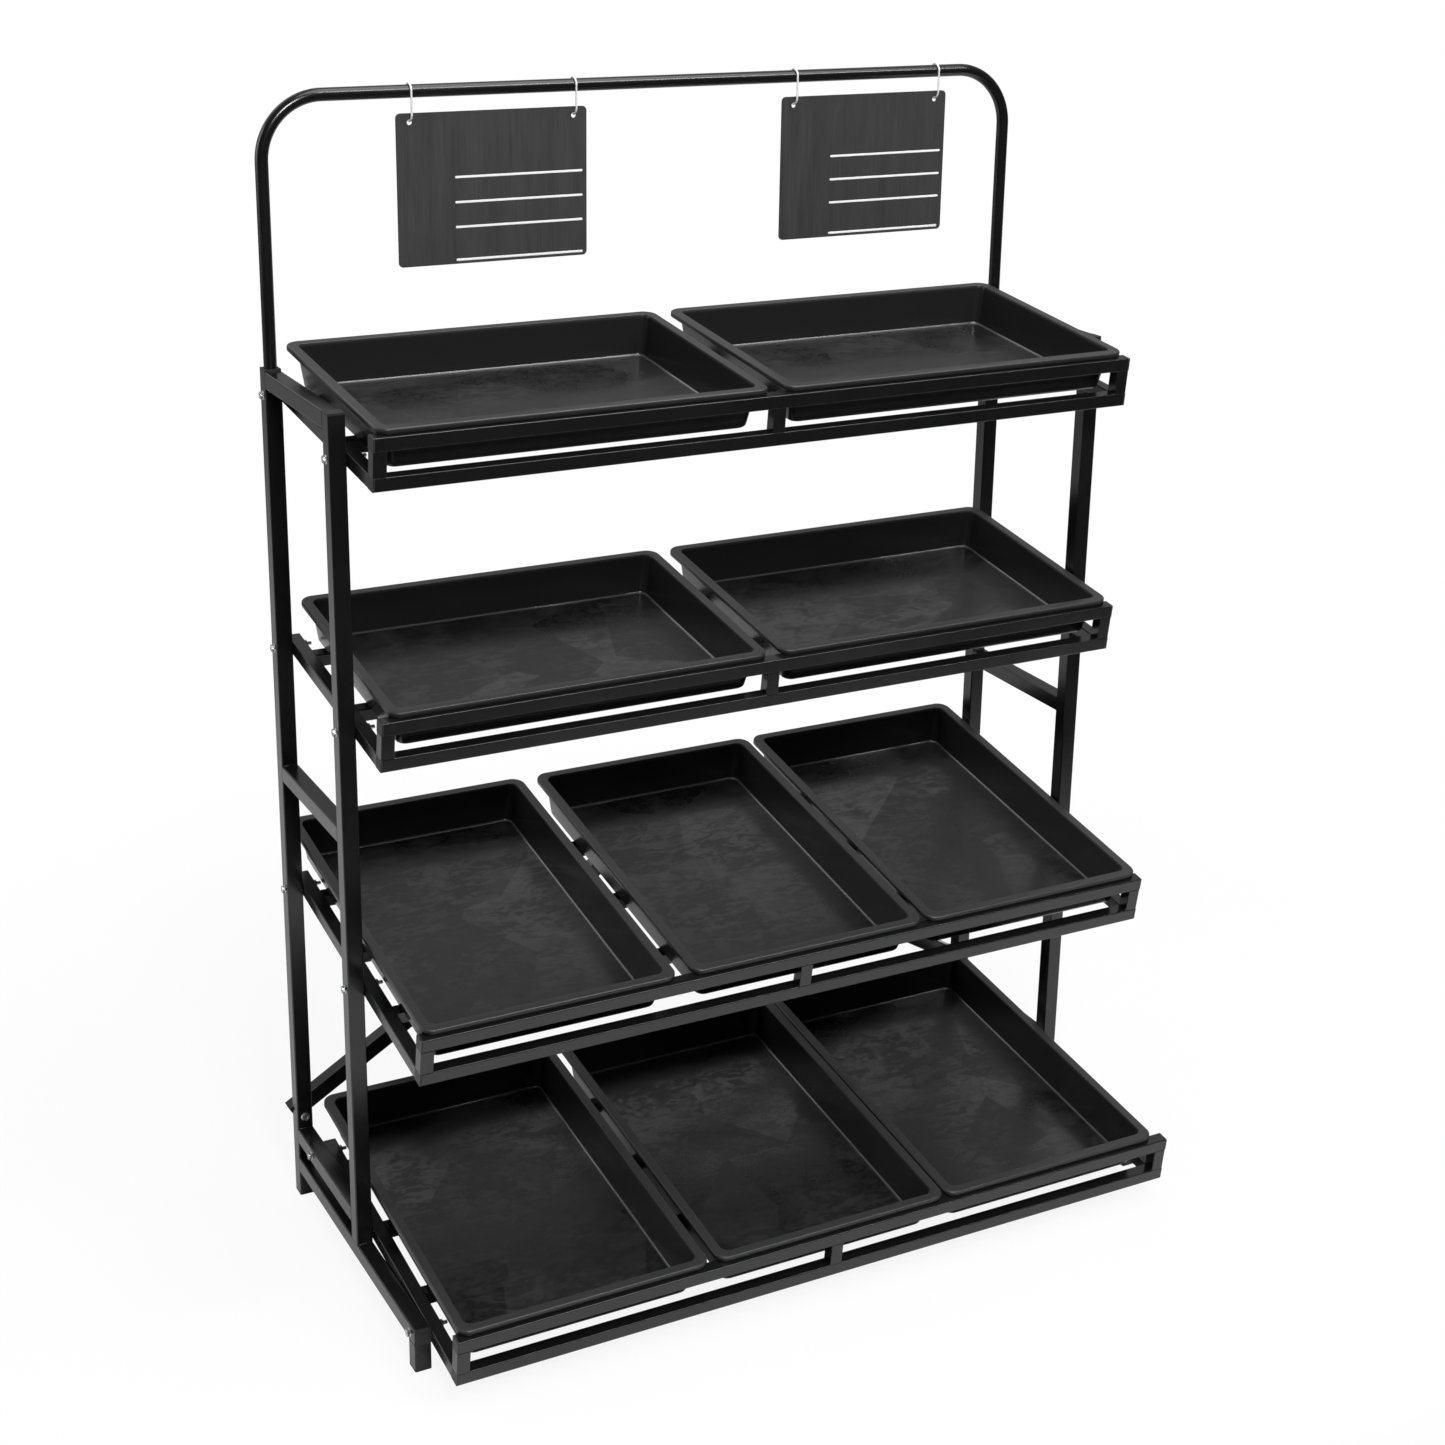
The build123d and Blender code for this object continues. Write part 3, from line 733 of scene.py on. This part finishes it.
# Beads lie above and below each rung and bottom rail where it meets a post, and down the braces' mitre.
def frameWelds():
    tube = rack["tube"]
    half = tube * bead["halfShare"]
    backJoint, frontJoint = backY - tube, backY - tube - rack["postGap"]
    shells = []
    for side in (-1, 1):
        x0, x1 = side * (postX - half), side * (postX + half)
        lines = [(frontJoint, rack["railTop"]), (frontJoint - tube, rack["railTop"]),
                 (backJoint, rack["railTop"]), (backJoint, rack["railTop"] - tube),
                 (backY - rack["railReach"] + tube, rack["railTop"] - tube)]
        for top in (rack["postHeight"], rack["midRungTop"], rack["lowRungTop"]):
            lines += [(backJoint, top - tube), (frontJoint, top - tube)]
            if top < rack["postHeight"]:
                lines += [(backJoint, top), (frontJoint, top)]
        shells += [beadShell((x0, y, z), (x1, y, z)) for y, z in lines]
    lean = tube / 2 * math.hypot(1, (rack["braceApex"] - rack["braceBolt"]) / postX) * (1 - bead["endShare"])
    shells.append(beadShell((0, backY + tube, rack["braceApex"] - lean),
                            (0, backY + tube, rack["braceApex"] + lean)))
    return shells


def addWelds():
    shells = frameWelds()
    for number in shelves:
        shells += shelfWelds(number)
    addPiece("weld_beads", shells, finish["frame"], "rack", (), bead["sharp"])
    print("welds made")


# Pieces that keep the CAD's shape
def dressNodes():
    kinds = (("plug", "plug"), ("bush", "plug"), ("sign_plate", "sheet"), ("bolts", "zinc"), ("nuts", "zinc"))
    for name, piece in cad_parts.items():
        kind = next((value for part, value in kinds if part in name), "frame")
        piece.data.materials.clear()
        piece.data.materials.append(finish[kind])


addTrays()
addArch()
addSigns()
addFasteners()
addWelds()
dressNodes()

# Stage
stage = {
    "floor": 14.0, "white": 0.90, "maskFrom": 0.9, "maskTo": 2.2,
    "paper": 0.88, "room": 0.05, "paperFrom": -1.30, "paperTo": -0.85,
    "front": 0.06, "back": 1.0, "backFrom": -0.2, "backTo": 0.45,
    "low": 0.29, "high": 0.58, "highFrom": 0.38, "highTo": 0.68,
}


# The floor is nearly white to the camera: it keeps a faint shadow near the rack and turns pure white further
# out. To everything else it is a sheet of white paper that ends a little way in front of the rack.
def addFloor():
    size = stage["floor"]
    mesh = bpy.data.meshes.new("floor")
    corners = [(-size, -size, 0), (size, -size, 0), (size, size, 0), (-size, size, 0)]
    mesh.from_pydata(corners, [], [(0, 1, 2, 3)])
    floor = bpy.data.objects.new("floor", mesh)
    bpy.context.scene.collection.objects.link(floor)
    net = newNet("paleFloor")
    ray = net.node("ShaderNodeLightPath", output="Is Camera Ray")
    point = net.node("ShaderNodeTexCoord", output="Object")
    away = net.node("ShaderNodeVectorMath", {"operation": "LENGTH"}, {0: point}, output="Value")
    mask = net.between(away, stage["maskFrom"], stage["maskTo"], stage["white"], 1.0)
    depth = net.node("ShaderNodeSeparateXYZ", {}, {"Vector": point}, output="Y")
    paper = net.between(depth, stage["paperFrom"], stage["paperTo"], stage["room"], stage["paper"])
    plain = net.node("ShaderNodeBsdfDiffuse", {}, {"Color": paper})
    white = net.node("ShaderNodeEmission", {}, {"Color": (1, 1, 1, 1), "Strength": 1.0})
    mixed = net.node("ShaderNodeMixShader", {}, {0: ray * mask, 1: plain, 2: white})
    net.node("ShaderNodeOutputMaterial", {}, {"Surface": mixed})
    mesh.materials.append(net.owner)


# The surroundings are a pale backdrop behind the rack, brighter high up, that fades to a dim room in front.
def addWorld():
    world = bpy.data.worlds.new("studio")
    bpy.context.scene.world = world
    net = Net(world)
    ray = net.node("ShaderNodeLightPath", output="Is Camera Ray")
    direction = net.node("ShaderNodeTexCoord", output="Generated")
    depth = net.node("ShaderNodeSeparateXYZ", {}, {"Vector": direction}, output="Y")
    height = net.node("ShaderNodeSeparateXYZ", {}, {"Vector": direction}, output="Z")
    fade = net.between(depth, stage["backFrom"], stage["backTo"], stage["front"], stage["back"])
    fade = fade * net.between(height, stage["highFrom"], stage["highTo"], stage["low"], stage["high"])
    strength = ray + (1 - ray) * fade
    glow = net.node("ShaderNodeBackground", {}, {"Color": (1, 1, 1, 1), "Strength": strength})
    net.node("ShaderNodeOutputWorld", {}, {"Surface": glow})


lamps = {
    "topSoftbox": {"place": (0.6, -0.6, 4.2), "aim": (0, 0, 0.8), "size": 2.6, "power": 74},
    "leftSoftbox": {"place": (-3.2, 1.4, 2.2), "aim": (0, 0, 0.9), "size": 2.0, "power": 28},
    "backLight": {"place": (-1.5, 3.2, 3.3), "aim": (0, 0, 0.7), "size": 2.2, "power": 14},
    "frontLight": {"place": (-0.9, -3.3, 3.4), "aim": (0, 0, 1.1), "size": 1.0, "power": 106},
    "edgeLight": {"place": (1.95, -2.5, 4.4), "aim": (1.95, 0, 0.8), "size": 2.8, "thin": 0.4, "power": 84},
}


def addLamps():
    for name, lamp in lamps.items():
        data = bpy.data.lights.new(name, "AREA")
        data.shape = "RECTANGLE"
        data.size = lamp["size"]
        data.size_y = lamp.get("thin", lamp["size"])
        data.energy = lamp["power"]
        light = bpy.data.objects.new(name, data)
        light.location = lamp["place"]
        aim = Vector(lamp["aim"]) - Vector(lamp["place"])
        light.rotation_euler = aim.to_track_quat("-Z", "Y").to_euler()
        light.visible_camera = False
        bpy.context.scene.collection.objects.link(light)


# The camera stands where the photograph was taken. Its middle point lies above the middle of the picture.
view = {"x": -1.628, "fromBack": -3.301, "z": 2.120, "yaw": 28.0, "pitch": -18.15, "roll": 0.98,
        "focal": 2396.0, "picture": 1445.0, "middleX": 722.5, "middleY": 600.0, "sensor": 36.0,
        "clip": 60}


def addCamera():
    yaw, pitch, roll = (math.radians(view[part]) for part in ("yaw", "pitch", "roll"))
    ahead = Vector((math.sin(yaw) * math.cos(pitch), math.cos(yaw) * math.cos(pitch), math.sin(pitch)))
    level = Vector((math.cos(yaw), -math.sin(yaw), 0))
    rise = level.cross(ahead)
    right = level * math.cos(roll) + rise * math.sin(roll)
    up = rise * math.cos(roll) - level * math.sin(roll)
    data = bpy.data.cameras.new("photoCamera")
    data.sensor_width = view["sensor"]
    data.lens = view["focal"] / view["picture"] * view["sensor"]
    data.shift_x = (view["picture"] / 2 - view["middleX"]) / view["picture"]
    data.shift_y = (view["middleY"] - view["picture"] / 2) / view["picture"]
    data.clip_end = view["clip"]
    camera = bpy.data.objects.new("photoCamera", data)
    turn = Matrix((right, up, -ahead)).transposed().to_4x4()
    camera.matrix_world = Matrix.Translation((view["x"], backY + view["fromBack"], view["z"])) @ turn
    bpy.context.scene.collection.objects.link(camera)
    bpy.context.scene.camera = camera


addFloor()
addWorld()
addLamps()
addCamera()
bpy.context.scene.view_settings.view_transform = "Standard"
print("stage made")
